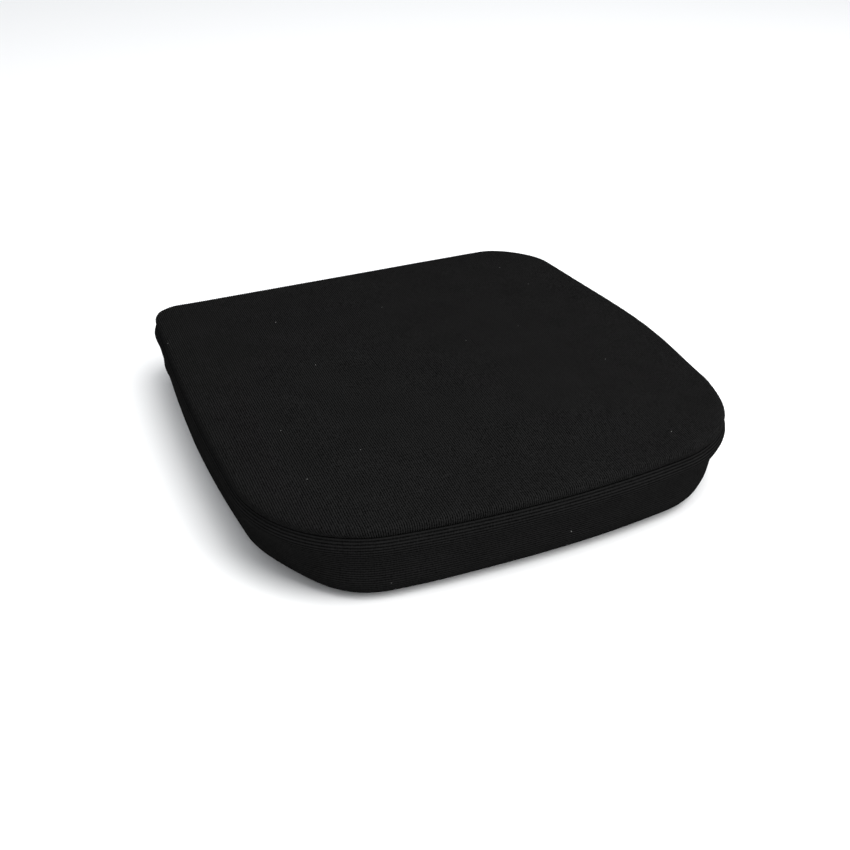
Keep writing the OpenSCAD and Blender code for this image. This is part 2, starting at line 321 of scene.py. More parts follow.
def bumpNode(height, strength, distance):
    node = nodeTree.nodes.new("ShaderNodeBump")
    node.inputs["Strength"].default_value = strength
    node.inputs["Distance"].default_value = distance
    nodeTree.links.new(height, node.inputs["Height"])
    return node.outputs[0]


def objectPlace():
    return nodeTree.nodes.new("ShaderNodeTexCoord").outputs["Object"]


def sineAlong(value, pitch):
    return mathNode("SINE", mathNode("MULTIPLY", value, 2 * math.pi / pitch))


knit = {
    "ribPitch": 1.78 * mm,
    "ribHeight": 0.46 * mm,
    "coursePitch": 1.15 * mm,      # rows of loops along a rib
    # these two colours are painted shade in the grooves between the ribs and painted highlight on the rib
    # tops
    "shadedValley": (0.0009, 0.0009, 0.0009),
    "ridge": (0.0122, 0.0121, 0.0120),
    "roughness": 0.95,
    "specular": 0.0,
    "lint": (0.22, 0.22, 0.21),
    "lintCells": 21,               # one speck at most in each cell of the cloth
    "lintSize": 0.007,
    "lintRarity": 0.74,            # share of the cells that have none
    "fuzzScale": 2400,
    "grainScale": 820,
    "mottleScale": 38,
    "grain": 2.3,                  # how far the rib light varies from thread to thread
}


def knitMaterial(name, paintedShadeScale=1.0, grit=1.0):
    material, shader = newMaterial(name)
    cloth = nodeTree.nodes.new("ShaderNodeAttribute")
    cloth.attribute_name = "cloth"
    place = objectPlace()
    axes = nodeTree.nodes.new("ShaderNodeSeparateXYZ")
    nodeTree.links.new(cloth.outputs["Vector"], axes.inputs[0])
    across, along, ridge = axes.outputs
    courses = sineAlong(along, knit["coursePitch"])
    fuzz = noiseNode(place, knit["fuzzScale"], 2)
    grain = noiseNode(place, knit["grainScale"], 3)
    mottle = noiseNode(place, knit["mottleScale"], 4)
    # painted highlight and shade: the rib tops and the rows of loops are painted lighter and the grooves
    # darker, and grain and fuzz break them up
    thread = mathNode("POWER", ridge, 1.6)
    thread = mathNode("MULTIPLY_ADD", thread, 0.88, 0.06)
    thread = mathNode("MULTIPLY_ADD", courses, 0.15, thread)
    thread = mathNode("MULTIPLY_ADD", fuzz, 0.5, thread)
    thread = mathNode("MULTIPLY_ADD", grain, knit["grain"] * grit, thread)
    thread = mathNode("SUBTRACT", thread, 0.27 + knit["grain"] * grit / 2)
    # a scale under 1 paints this copy of the knit darker all over, as painted shade
    shadedValley = tuple(v * paintedShadeScale for v in knit["shadedValley"])
    top = tuple(v * paintedShadeScale for v in knit["ridge"])
    colour = mixColour(thread, shadedValley, top)
    tone = rampNode(mottle, [(0.3, 0.93), (0.7, 1.07)])
    colour = mixColour(1.0, colour, tone, "MULTIPLY")
    # stray specks of lint lie on the face of the cloth
    cells = nodeTree.nodes.new("ShaderNodeTexVoronoi")
    cells.voronoi_dimensions = "2D"
    cells.inputs["Scale"].default_value = knit["lintCells"]
    nodeTree.links.new(cloth.outputs["Vector"], cells.inputs["Vector"])
    speck = mathNode("LESS_THAN", cells.outputs["Distance"], knit["lintSize"])
    some = nodeTree.nodes.new("ShaderNodeSeparateColor")
    nodeTree.links.new(cells.outputs["Color"], some.inputs[0])
    speck = mathNode("MULTIPLY", speck,
                     mathNode("GREATER_THAN", some.outputs[0], knit["lintRarity"]))
    colour = mixColour(speck, colour, knit["lint"])
    nodeTree.links.new(colour, shader.inputs["Base Color"])
    shader.inputs["Roughness"].default_value = knit["roughness"]
    shader.inputs["Specular IOR Level"].default_value = knit["specular"]
    height = mathNode("MULTIPLY_ADD", courses, 0.5, fuzz)
    nodeTree.links.new(bumpNode(height, 0.6, 0.14 * mm), shader.inputs["Normal"])
    return material


def weaveMaterial(name, colour, pitch, rough=0.85, depth=0.1 * mm, sheen=0.05, vary=0.25, lift=2.2):
    # plain woven or felted cloth: two crossed threads, with uneven tone
    material, shader = newMaterial(name)
    place = objectPlace()
    axes = nodeTree.nodes.new("ShaderNodeSeparateXYZ")
    nodeTree.links.new(place, axes.inputs[0])
    x, y, z = axes.outputs
    down = mathNode("ADD", y, z)
    warp = sineAlong(x, pitch)
    weft = sineAlong(down, pitch)
    cross = mathNode("MULTIPLY", warp, weft)
    fuzz = noiseNode(place, 1800, 2)
    mottle = noiseNode(place, 60, 4)
    height = mathNode("MULTIPLY_ADD", fuzz, 0.8, cross)
    # the raised crossings and fuzz are painted lighter and the low gaps darker: painted highlight and shade
    # that follow the bump height
    factor = mathNode("MULTIPLY_ADD", height, 0.35, 0.3)
    paintedHighlight = tuple(min(1.0, v * lift) for v in colour)
    shade = mixColour(factor, colour, paintedHighlight)
    tone = rampNode(mottle, [(0.3, 1 - vary), (0.7, 1 + vary)])
    nodeTree.links.new(mixColour(1.0, shade, tone, "MULTIPLY"), shader.inputs["Base Color"])
    shader.inputs["Roughness"].default_value = rough
    shader.inputs["Specular IOR Level"].default_value = 0.25
    shader.inputs["Sheen Weight"].default_value = sheen
    nodeTree.links.new(bumpNode(height, 0.7, depth), shader.inputs["Normal"])
    return material


def grainMaterial(name, colour, rough, scale, depth, vary=0.25, metallic=0.0, roughVary=0.1, worn=None):
    # moulded, rubbery or painted surface: fine grain, uneven tone and gloss
    material, shader = newMaterial(name)
    place = objectPlace()
    grain = noiseNode(place, scale, 4)
    mottle = noiseNode(place, scale / 12, 5)
    tone = rampNode(mottle, [(0.3, 1 - vary), (0.7, 1 + vary)])
    shade = mixColour(1.0, colour, tone, "MULTIPLY")
    if worn:
        rub = noiseNode(place, scale / 4, 6, 0.7)
        edge = rampNode(rub, [(0.62, 0.0), (0.7, 1.0)])
        shade = mixColour(edge, shade, worn)
    nodeTree.links.new(shade, shader.inputs["Base Color"])
    gloss = mathNode("MULTIPLY_ADD", mottle, roughVary * 2, rough - roughVary)
    nodeTree.links.new(gloss, shader.inputs["Roughness"])
    shader.inputs["Metallic"].default_value = metallic
    nodeTree.links.new(bumpNode(grain, 0.5, depth), shader.inputs["Normal"])
    return material


def foamMaterial(name, colour, cell):
    # open-cell foam: pores seen as small cups with painted shade in them
    material, shader = newMaterial(name)
    place = objectPlace()
    cells = nodeTree.nodes.new("ShaderNodeTexVoronoi")
    cells.inputs["Scale"].default_value = 1 / cell
    nodeTree.links.new(place, cells.inputs["Vector"])
    pore = rampNode(cells.outputs["Distance"], [(0.15, 0.0), (0.55, 1.0)])
    mottle = noiseNode(place, 25, 4)
    poreShade = tuple(v * 0.55 for v in colour)
    shade = mixColour(pore, poreShade, colour)
    tone = rampNode(mottle, [(0.3, 0.9), (0.7, 1.06)])
    nodeTree.links.new(mixColour(1.0, shade, tone, "MULTIPLY"), shader.inputs["Base Color"])
    shader.inputs["Roughness"].default_value = 0.9
    shader.inputs["Subsurface Weight"].default_value = 0.1
    nodeTree.links.new(bumpNode(pore, 0.8, cell * 0.4), shader.inputs["Normal"])
    return material


topKnit = knitMaterial("ribKnitTop")
# the band is the same knit painted a tenth darker than the top: painted shade on its upright faces
bandKnit = knitMaterial("ribKnitBand", paintedShadeScale=0.9, grit=0.6)
baseFabric = weaveMaterial("baseFabric", (0.006, 0.006, 0.0065), 0.9 * mm, sheen=0.02)
linerFabric = weaveMaterial("linerFabric", (0.003, 0.003, 0.003), 1.4 * mm, rough=0.95, sheen=0.0)
gripRubber = grainMaterial("gripRubber", (0.022, 0.022, 0.023), 0.55, 900, 0.05 * mm)
sewingThread = weaveMaterial("sewingThread", (0.005, 0.005, 0.005), 0.35 * mm, 0.6, 0.05 * mm, 0.03)
tapeWeave = weaveMaterial("tapeWeave", (0.005, 0.005, 0.0055), 0.62 * mm, 0.8, 0.12 * mm, 0.03)
coilNylon = grainMaterial("coilNylon", (0.009, 0.009, 0.0095), 0.34, 1500, 0.01 * mm)
blackEnamel = grainMaterial("blackEnamel", (0.022, 0.022, 0.023), 0.28, 1200, 0.012 * mm,
                            metallic=0.35, worn=(0.20, 0.20, 0.205))
labelSatin = weaveMaterial("labelSatin", (0.55, 0.55, 0.53), 0.30 * mm, 0.4, 0.03 * mm, 0.1, 0.06, 1.15)
firmFoamCells = foamMaterial("firmFoamCells", (0.80, 0.76, 0.62), 1.3 * mm)
memoryFoamCells = foamMaterial("memoryFoamCells", (0.86, 0.80, 0.66), 0.8 * mm)
print("materials made")


# sections through the edge: [inset, height] in mm; the first points turn in behind the seam
seamH, edgeH = seamZ / mm, edgeZ / mm
panelEdge = [(4.8, seamH - 1.0), (3.6, seamH - 0.9), (2.4, seamH - 0.3), (1.7, seamH + 0.9),
             (1.2, seamH + 2.7), (1.2, seamH + 4.7), (2.1, seamH + 6.5), (4.6, edgeH),
             (8.8, edgeH + 0.35), (14.0, edgeH + 0.3)]
bandTop = [(4.6, seamH - 0.5), (3.4, seamH - 0.5), (2.1, seamH - 0.8), (1.2, seamH - 1.9),
           (0.35, seamH - 3.8), (-0.5, seamH - 6.8), (-0.6, seamH - 9.6), (0.2, 46.5), (1.6, 42.5),
           (3.3, 38.6)]
bandFoot = [(5.1, 20.5), (5.4, 16.5), (6.9, 11.2), (9.9, 6.6), (13.4, 3.5), (16.6, 2.1),
            (18.4, 2.1), (20.4, 2.9)]
bandEdge = bandTop + [(4.8, 30)] + bandFoot
upperHem = [(5.0, 34.4), (5.2, 33.8), (5.9, 33.5), (6.9, 33.5), (7.55, 33.9), (7.7, 34.6), (7.7, 37.8)]
lowerHem = [(7.7, 18.2), (7.7, 21.4), (7.55, 22.1), (6.9, 22.5), (5.9, 22.5), (5.2, 22.2), (5.0, 21.6)]
pullHeights = [(0, 1.0), (8, 0.9), (17, 0.6), (42, 0.2), (50, 0.0), (90, 0.0)]


def pullAt(z):
    table = np.array(pullHeights)
    return cushion["cornerPull"] * np.interp(z / mm, table[:, 0], table[:, 1])


# the cover as one closed form, filled out by a cloth simulation
cage = {
    "step": 9 * mm,
    "pressure": 4.0,
    "frames": 20,
    "topCap": 2.2 * mm,       # the most the foam lets the top rise
    "bandCap": 1.3 * mm,
    "hub": 90 * mm,            # the cage is finest here, so the swell is made even
    "edgeEase": 6 * mm,
}


def makeCage():
    point, normal, weight = traceOutline(cage["step"])
    rings = []

    def ring(inset, z, scale=1.0):
        flat = (point - normal * (inset + pullAt(z) * weight)[:, None]) * scale
        rings.append(np.column_stack([flat, np.full(len(flat), z)]))

    for scale in (0.15, 0.35, 0.55, 0.75, 0.92):
        ring(20 * mm, 1.4 * mm, scale)
    for inset, z in bandEdge[14:2:-1]:
        ring(inset * mm, z * mm)
    seamRings = [5, len(rings)]
    ring(1.4 * mm, seamZ)
    for inset, z in panelEdge[3:]:
        ring(inset * mm, z * mm)
    for scale in (0.94, 0.82, 0.68, 0.52, 0.34, 0.15):
        ring(14 * mm, edgeZ, scale)
    n = len(point)
    points = np.concatenate(rings)
    obj = makePiece("cage", points, tubeFaces(len(rings), n))
    form = bmesh.new()
    form.from_mesh(obj.data)
    bmesh.ops.recalc_face_normals(form, faces=form.faces)
    form.to_mesh(obj.data)
    form.free()
    zipZone = (np.abs(points[:, 0]) < stripX) & (points[:, 1] > backY - 12 * mm)
    held = set(np.nonzero(zipZone | (points[:, 2] < 3 * mm))[0].tolist())
    for k in seamRings:
        held |= set(range(k * n, (k + 1) * n))
    obj.vertex_groups.new(name="seams").add(sorted(held), 1.0, "REPLACE")
    return obj, points


def fillCage():
    obj, rest = makeCage()
    cloth = obj.modifiers.new("fill", "CLOTH")
    s = cloth.settings
    s.quality, s.mass = 5, 0.3
    s.tension_stiffness = s.compression_stiffness = 60
    s.shear_stiffness, s.bending_stiffness = 20, 8
    s.use_pressure, s.uniform_pressure_force = True, cage["pressure"]
    s.vertex_group_mass = "seams"
    s.effector_weights.gravity = 0
    cloth.collision_settings.use_collision = False
    scene = bpy.context.scene
    for f in range(1, cage["frames"] + 1):
        scene.frame_set(f)
    shape = obj.evaluated_get(bpy.context.evaluated_depsgraph_get()).to_mesh()
    moved, out = np.empty(len(rest) * 3), np.empty(len(rest) * 3)
    shape.vertices.foreach_get("co", moved)
    obj.data.vertices.foreach_get("normal", out)
    scene.frame_set(1)
    out = out.reshape(-1, 3)
    swell = ((moved.reshape(-1, 3) - rest) * out).sum(1)
    cap = np.where(rest[:, 2] > seamZ, cage["topCap"], cage["bandCap"])
    print("cover filled,", round(float(swell.min()) / mm, 1), "to", round(float(swell.max()) / mm, 1), "mm")
    swell = cap * np.tanh(np.clip(swell, 0, None) / cap)
    bpy.data.objects.remove(obj)
    return rest, out * swell[:, None]


cageRest, cageSwell = fillCage()
cageTree = treeOf(cageRest)


def easeSwell(swell):
    # evens the swell out a little, and wholly at the hub of the top and base
    out, size = swell.copy(), cage["edgeEase"]
    for i, p in enumerate(cageRest.tolist()):
        near = cageTree.find_range(p, 1.6 * size)
        share = np.exp(-(np.array([d for _, _, d in near]) / size) ** 2)
        out[i] = (swell[[k for _, k, _ in near]] * share[:, None]).sum(0) / share.sum()
    r = np.hypot(cageRest[:, 0], cageRest[:, 1]) / cage["hub"]
    above = cageRest[:, 2] > seamZ
    for face in (above, ~above):
        rim, hub = face & (r > 0.8) & (r < 1.2), face & (r < 1)
        if rim.any():
            share = (r[hub] ** 2 * (3 - 2 * r[hub]))[:, None]
            out[hub] = out[rim].mean(0) * (1 - share) + out[hub] * share
    return out


cageSwell = easeSwell(cageSwell)


def swellAt(points):
    # how far the filled cover has moved near each point
    out = np.zeros_like(points)
    if len(cageRest) < 4:
        return out
    for k, p in enumerate(points.tolist()):
        near = cageTree.find_n(p, 6)
        share = np.array([1 / (d + 2 * mm) ** 2 for _, _, d in near])
        out[k] = (cageSwell[[i for _, i, _ in near]] * share[:, None]).sum(0) / share.sum()
    return out


def sagAt(points):
    # how far the cloth droops, by its distance from the slack corner
    away = np.hypot(points[:, 0] - cushion["sagAt"][0], points[:, 1] - cushion["sagAt"][1])
    high = np.clip((points[:, 2] - 30 * mm) / (30 * mm), 0, 1)
    return cushion["sag"] * high * np.exp(-(away / cushion["sagSize"]) ** 2)


def waves(points, size=85 * mm, seed=3.0):
    return np.array([noise.noise(Vector((p[0] / size + seed, p[1] / size, p[2] / size)))
                     for p in points.tolist()])


def ribProfile(phase):
    # round ribs with narrow grooves
    return np.abs(np.cos(np.pi * phase)) ** 0.8


topPanel = {
    "samplesPerRib": 6,
    "rows": 62,
    "swellShare": (0.5, 0.5, 1.0),   # the rolled edge stands out less than it rises
}


def makeTopPanel():
    s, edge = smoothLine(np.array(panelEdge) * mm, 0.3 * mm)
    flatInset = edge[-1, 0]
    grow = s[-1] - flatInset                        # the cut cloth is this much larger than the cushion
    s = np.append(s, s[-1] + 1)
    edge = np.vstack([edge, edge[-1] + [1, 0]])
    slope = np.gradient(edge, s, axis=0)
    point, normal, _ = traceOutline(1 * mm)
    lean = cushion["ribLean"]
    turn = np.array([[math.cos(lean), -math.sin(lean)], [math.sin(lean), math.cos(lean)]])
    cut = (point + normal * grow) @ turn.T          # outline of the cut cloth, ribs upright
    first, last = cut[:, 0].argmin(), cut[:, 0].argmax()
    loop = np.roll(cut, -first, axis=0)
    turnAt = (last - first) % len(cut)
    lower, upper = loop[:turnAt + 1], np.vstack([loop[turnAt:], loop[:1]])[::-1]
    step = knit["ribPitch"] / topPanel["samplesPerRib"]
    start, end = cut[first, 0] + 0.1 * mm, cut[last, 0] - 0.1 * mm
    u = np.arange(math.ceil(start / step), math.floor(end / step) + 1) * step
    low, high = np.interp(u, lower[:, 0], lower[:, 1]), np.interp(u, upper[:, 0], upper[:, 1])
    k = np.linspace(0, 1, topPanel["rows"])
    t = 0.7 * (0.5 - 0.5 * np.cos(np.pi * k)) + 0.3 * k
    v = low + (high - low) * t[:, None]
    u = np.broadcast_to(u, v.shape)
    flat = np.stack([u.ravel(), v.ravel()], 1) @ turn
    tree = treeOf(np.column_stack([point, np.zeros(len(point))]))
    near = np.array([tree.find((p[0], p[1], 0))[1] for p in flat.tolist()])
    out, base = normal[near], point[near]
    inset = ((base - flat) * out).sum(1)
    slide = flat - base + out * inset[:, None]
    along = inset + grow
    newInset, z = np.interp(along, s, edge[:, 0]), np.interp(along, s, edge[:, 1])
    dInset, dz = np.interp(along, s, slope[:, 0]), np.interp(along, s, slope[:, 1])
    place = np.column_stack([base - out * newInset[:, None] + slide, z])
    face = np.column_stack([out * dz[:, None], dInset])
    face = unit(face)
    depth = np.clip(newInset - flatInset, 0, None)
    place[:, 2] += cushion["crown"] * (1 - np.exp(-(depth / cushion["edgeBand"]) ** 2))
    place += swellAt(place) * topPanel["swellShare"]
    place[:, 2] -= sagAt(place)
    inner = np.clip(along / (15 * mm), 0, 1)
    gather = np.exp(-((along - 6 * mm) / (4 * mm)) ** 2)
    bumps = cushion["unevenness"] * waves(place) * inner
    bumps += cushion["pucker"] * waves(place, 7 * mm, 1) * gather
    ridge = ribProfile(u.ravel() / knit["ribPitch"])
    place += face * (bumps + knit["ribHeight"] * (ridge - 0.6))[:, None]
    cloth = np.column_stack([u.ravel(), v.ravel(), ridge])
    return makePiece("coverTop", place, gridFaces(*v.shape), topKnit, cloth)


coverTop = makeTopPanel()
fitPiece(coverTop, "cushion", "rib_knit", "cover_top_panel")
print("top panel made")


band = {
    "step": 3.4 * mm,
    "rowStep": 0.36 * mm,
    "bigRibs": 7,                  # rows under the seam that stand out more
    "bigPitch": 2.5 * mm,
    "bigHeight": 0.62 * mm,
    "pitch": 2.15 * mm,
    "height": 0.30 * mm,
    "endTuck": 2.4 * mm,           # cut ends turn in at the upright seams
}


def bandRibs(run):
    # ridge and height at a distance below the top seam
    split = band["bigRibs"] * band["bigPitch"]
    phase = np.where(run < split, run / band["bigPitch"], band["bigRibs"] + (run - split) / band["pitch"])
    fade = 1 / (1 + np.exp((run - split) / (1.6 * band["bigPitch"])))
    return ribProfile(phase), band["height"] + (band["bigHeight"] - band["height"]) * fade


def makeSewnBand(name, section, point, normal, weight, swell=True):
    # cloth that follows a section along a run of outline points, with its ribs level
    s, edge = smoothLine(np.array(section) * mm, band["rowStep"])
    slope = np.gradient(edge, s, axis=0)
    run = runOf(point)
    tuckIn = band["endTuck"] * np.exp(-(np.minimum(run, run[-1] - run) / (2.2 * mm)) ** 2)
    pull = pullAt(edge[:, 1])
    inset = edge[:, :1] + pull[:, None] * weight + tuckIn
    z = np.broadcast_to(edge[:, 1:], inset.shape)
    place = np.dstack([point[None] - normal[None] * inset[..., None], z]).reshape(-1, 3)
    rise = np.broadcast_to(-slope[:, :1], inset.shape)
    face = np.dstack([normal[None] * -slope[:, 1][:, None, None], rise]).reshape(-1, 3)
    face = unit(face)
    ridge, height = bandRibs(s - 3.2 * mm)
    below = np.broadcast_to((seamZ - edge[:, 1])[:, None], inset.shape).ravel()
    if swell:
        place += swellAt(place)
        place[:, 2] -= sagAt(place)
    bumps = 0.6 * cushion["unevenness"] * waves(place, 60 * mm, 9)
    bumps += cushion["pucker"] * waves(place, 7 * mm, 5) * np.exp(-((below - 3 * mm) / (3 * mm)) ** 2)
    lift = (height * (ridge - 0.6))[:, None] * np.ones(len(point))
    place += face * (bumps + lift.ravel())[:, None]
    spread = [np.broadcast_to(a, inset.shape).ravel() for a in (s[:, None], run, ridge[:, None])]
    return makePiece(name, place, gridFaces(*inset.shape), bandKnit, np.column_stack(spread))


def bandStations():
    # from the left upright seam round the front to the right one
    point, normal, weight = traceOutline(band["step"])
    order = np.roll(np.arange(len(point)), -int(np.argmin(np.abs(point[:, 0]) + (point[:, 1] < 0))))
    keep = order[~((np.abs(point[order, 0]) < stripX + 0.4 * mm) & (point[order, 1] > backY - 1 * mm))]
    point, normal, weight = point[keep], normal[keep], weight[keep]
    ends = [np.array([-stripX - 0.4 * mm, backY]), np.array([stripX + 0.4 * mm, backY])]
    up = np.array([[0.0, 1.0]])
    return (np.vstack([ends[0][None], point, ends[1][None]]), np.vstack([up, normal, up]),
            np.concatenate([[0], weight, [0]]))


coverBand = makeSewnBand("coverBand", bandEdge, *bandStations())
fitPiece(coverBand, "cushion", "rib_knit", "cover_side_band")
print("side band made")


def makeSeamBinding():
    # a strip of tape behind each upright seam, closing it and the ends of the zip's slot
    s, edge = smoothLine(np.array(bandEdge[1:-1]) * mm, 1 * mm)
    points, faces = [], []
    for side in (-1, 1):
        x = np.linspace(stripX - 5 * mm, stripX + 5 * mm, 7)
        for depth in (2.15 * mm, 2.45 * mm):
            start = len(points) * len(s) * len(x)
            xx, inset = np.meshgrid(side * x, edge[:, 0] + depth)
            zz = np.broadcast_to(edge[:, 1:], xx.shape)
            points.append(np.column_stack([xx.ravel(), (backY - inset).ravel(), zz.ravel()]))
            faces.append(gridFaces(len(s), len(x), flip=(side > 0) != (depth > 2.3 * mm)) + start)
    return makePiece("seamBinding", np.vstack(points), np.vstack(faces), linerFabric)


fitPiece(makeSeamBinding(), "cushion", "base_cloth")

stripCount = 140
stripPoint = np.column_stack([np.linspace(stripX, -stripX, stripCount), np.full(stripCount, backY)])
stripNormal = np.tile([0.0, 1.0], (stripCount, 1))
for name, section, node in (("upperStrip", bandTop + upperHem, "back_strip_upper"),
                            ("lowerStrip", lowerHem + bandFoot, "back_strip_lower")):
    strip = makeSewnBand(name, section, stripPoint, stripNormal, np.zeros(stripCount), swell=False)
    fitPiece(strip, "cushion", "rib_knit", node)
print("back strips made")

# sewing: every stitch is a small thread capsule
sewing = {
    "threadR": 0.28 * mm,
    "topstitch": 3.2 * mm,
    "topstitchGap": 0.7 * mm,
    "seamStitch": 2.6 * mm,
    "seamGap": 0.9 * mm,
    "topSeamR": 0.26 * mm,
    "topSeamInset": 4.0 * mm,  # sunk in the seam, out of sight
    "footSeamR": 0.3 * mm,
    "uprightR": 0.25 * mm,
}


def stitchMesh(name, centres, along, out, length, radius):
    # one mesh of capsules that arch over the cloth and dive in at both ends
    sides, rings = 6, 7
    t = np.linspace(-1, 1, rings)
    swell = np.sqrt(np.clip(1 - np.abs(t) ** 5, 0, 1)) * 0.85 + 0.15
    arch = radius * (0.9 - 1.7 * np.abs(t) ** 3)
    side = np.cross(along, out)
    around = np.arange(sides) * 2 * np.pi / sides
    line = (centres[:, None] + along[:, None] * (t * length / 2)[None, :, None]
            + out[:, None] * arch[None, :, None])
    spin = (side[:, None] * np.cos(around)[None, :, None] + out[:, None] * np.sin(around)[None, :, None])
    points = line[:, :, None] + spin[:, None] * (radius * swell)[None, :, None, None]
    faces = []
    for k in range(len(centres)):
        faces += tubeFaces(rings, sides, k * rings * sides)
    return makePiece(name, points.reshape(-1, 3), faces, sewingThread)


def stitchLine(name, path, out, length, gap, radius, tilt=0.0):
    # stitches at an even pitch along a path of points
    path, out = np.asarray(path), np.asarray(out)
    run = runOf(path)
    count = int(run[-1] // (length + gap))
    at = (np.arange(count) + 0.5) * run[-1] / count
    centre, facing = (np.stack([np.interp(at, run, a[:, k]) for k in range(3)], 1) for a in (path, out))
    ahead = np.stack([np.interp(np.minimum(at + mm, run[-1]), run, path[:, k])
                      - np.interp(np.maximum(at - mm, 0), run, path[:, k]) for k in range(3)], 1)
    ahead[:, 2] += tilt * np.linalg.norm(ahead, axis=1)
    ahead = unit(ahead)
    facing -= ahead * (facing * ahead).sum(1)[:, None]
    facing = unit(facing)
    return stitchMesh(name, centre, ahead, facing, length, radius)


def outlinePath(inset, z):
    point, normal, weight = traceOutline(2 * mm)
    flat = point - normal * (inset + pullAt(z) * weight)[:, None]
    path = np.column_stack([flat, np.full(len(flat), z)])
    return np.vstack([path, path[:1]]), np.vstack([normal, normal[:1]])


path, normal = outlinePath(sewing["topSeamInset"], seamZ - 0.5 * mm)
path[:, 2] -= sagAt(path)
out = np.column_stack([normal, np.full(len(normal), 0.2)])
topSeam = stitchLine("topSeamStitches", path, out, sewing["seamStitch"], sewing["seamGap"],
                     sewing["topSeamR"])
fitPiece(topSeam, "cushion", "thread", "top_seam_thread")
path, normal = outlinePath(18.9 * mm, 1.75 * mm)
out = np.column_stack([0.3 * normal, np.full(len(normal), -1.0)])
footSeam = stitchLine("bottomSeamStitches", path, out, sewing["seamStitch"], sewing["seamGap"],
                      sewing["footSeamR"])
fitPiece(footSeam, "cushion", "thread", "bottom_seam_thread")

uprights = []
for side in (-1, 1):
    s, edge = smoothLine(np.array(bandEdge[2:-1]) * mm, 1 * mm)
    x = np.full(len(s), side * (stripX + 0.2 * mm))
    path = np.column_stack([x, backY - edge[:, 0] - 1.5 * mm, edge[:, 1]])
    slope = np.gradient(edge, s, axis=0)
    out = np.column_stack([np.zeros(len(s)), -slope[:, 1], -slope[:, 0]])
    uprights.append(stitchLine("cornerStitches", path, out, 2.4 * mm, sewing["seamGap"], sewing["uprightR"]))
bpy.ops.object.select_all(action="DESELECT")
for piece in uprights:
    piece.select_set(True)
bpy.context.view_layer.objects.active = uprights[0]
bpy.ops.object.join()
fitPiece(uprights[0], "cushion", "thread", "corner_seam_threads")

for name, node in (("zipStitchUpper", "zip_stitch_upper"), ("zipStitchLower", "zip_stitch_lower")):
    low, high = nodeBox(node)
    x = np.linspace(low[0], high[0], 40)
    path = np.column_stack([x, np.full(40, low[1] + 0.1 * mm), np.full(40, (low[2] + high[2]) / 2)])
    out = np.tile([0.0, 1.0, 0.0], (40, 1))
    row = stitchLine(name, path, out, sewing["topstitch"], sewing["topstitchGap"], sewing["threadR"], 0.06)
    fitPiece(row, "cushion", "thread", node)
print("sewing made")


base = {
    "rings": 26,
    "height": 1.3 * mm,        # of the cloth above whatever the cushion stands on
    "dotGap": 10 * mm,
    "dotR": 2.3 * mm,
    "edgeMargin": 6 * mm,
    "waviness": 0.18 * mm,
}


def makeBaseCloth():
    point, normal, weight = traceOutline(5 * mm)
    edge = point - normal * (18.2 * mm + pullAt(np.zeros(1)) * weight)[:, None]
    rows = [np.column_stack([edge - normal * d, np.full(len(edge), z)])
            for d, z in ((0.2 * mm, 3.0 * mm), (0.0, 2.3 * mm), (0.3 * mm, 1.7 * mm), (1.2 * mm, 1.4 * mm))]
    for scale in np.linspace(0.985, 0.02, base["rings"]):
        rows.append(np.column_stack([edge * scale, np.full(len(edge), base["height"])]))
    points = np.vstack(rows)
    level = points[:, 2] < 1.35 * mm
    points[level, 2] += base["waviness"] * waves(points[level], 30 * mm, 2)
    n = len(point)
    faces = gridFaces(len(rows), n, wrap=True).tolist()
    faces.append([(len(rows) - 1) * n + i for i in range(n)])
    return makePiece("baseCloth", points, faces, baseFabric), edge


def insideOf(edge, p, margin):
    # is the point inside the closed outline, and clear of it by the margin
    a, b = edge, np.roll(edge, -1, axis=0)
    crosses = (a[:, 1] > p[1]) != (b[:, 1] > p[1])
    rise = np.where(crosses, b[:, 1] - a[:, 1], 1.0)
    at = a[:, 0] + (p[1] - a[:, 1]) * (b[:, 0] - a[:, 0]) / rise
    inside = np.count_nonzero(crosses & (p[0] < at)) % 2 == 1
    return inside and np.linalg.norm(edge - p, axis=1).min() > margin


def makeGripDots(edge):
    # domed rubber dots in staggered rows
    profile = [(1.0, 0.04), (0.97, 0.3), (0.85, 0.62), (0.6, 0.86), (0.3, 0.97)]
    sides = 12
    around = np.arange(sides) * 2 * np.pi / sides
    ring = np.vstack([np.column_stack([np.cos(around) * r, np.sin(around) * r, np.full(sides, -h)])
                      for r, h in profile] + [[[0, 0, -1]]])
    ring = ring * [base["dotR"], base["dotR"], base["height"]]
    hull = gridFaces(len(profile), sides, wrap=True, flip=True).tolist()
    tip = len(profile) * sides
    hull += [[tip - sides + (i + 1) % sides, tip - sides + i, tip] for i in range(sides)]
    points, faces = [], []
    rowGap = base["dotGap"] * math.sin(math.pi / 3)
    rows = int(0.2 / rowGap)
    for row in range(-rows, rows + 1):
        for column in range(-22, 23):
            p = np.array([(column + 0.5 * (row % 2)) * base["dotGap"], row * rowGap])
            if not insideOf(edge, p, base["edgeMargin"]):
                continue
            start = len(points) * len(ring)
            points.append(ring + [p[0], p[1], base["height"]])
            faces += [[start + i for i in f] for f in hull]
    return makePiece("gripDots", np.vstack(points), faces, gripRubber)


baseCloth, baseEdge = makeBaseCloth()
fitPiece(baseCloth, "cushion", "base_cloth", "base_panel")
fitPiece(makeGripDots(baseEdge), "cushion", "grip_rubber", "grip_dots")
print("base made")


foam = {
    "gap": 2.6 * mm,           # cloth face to foam
    "step": 8 * mm,
    "pore": 0.25 * mm,
    "grooveHalf": 10.5 * mm,   # half the height of the groove behind the zip
}
splitZ = nodeBox("comfort_foam")[0][2]
grooveY = nodeBox("zip_slider")[0][1] - 0.7 * mm     # the foam is cut back behind the zip


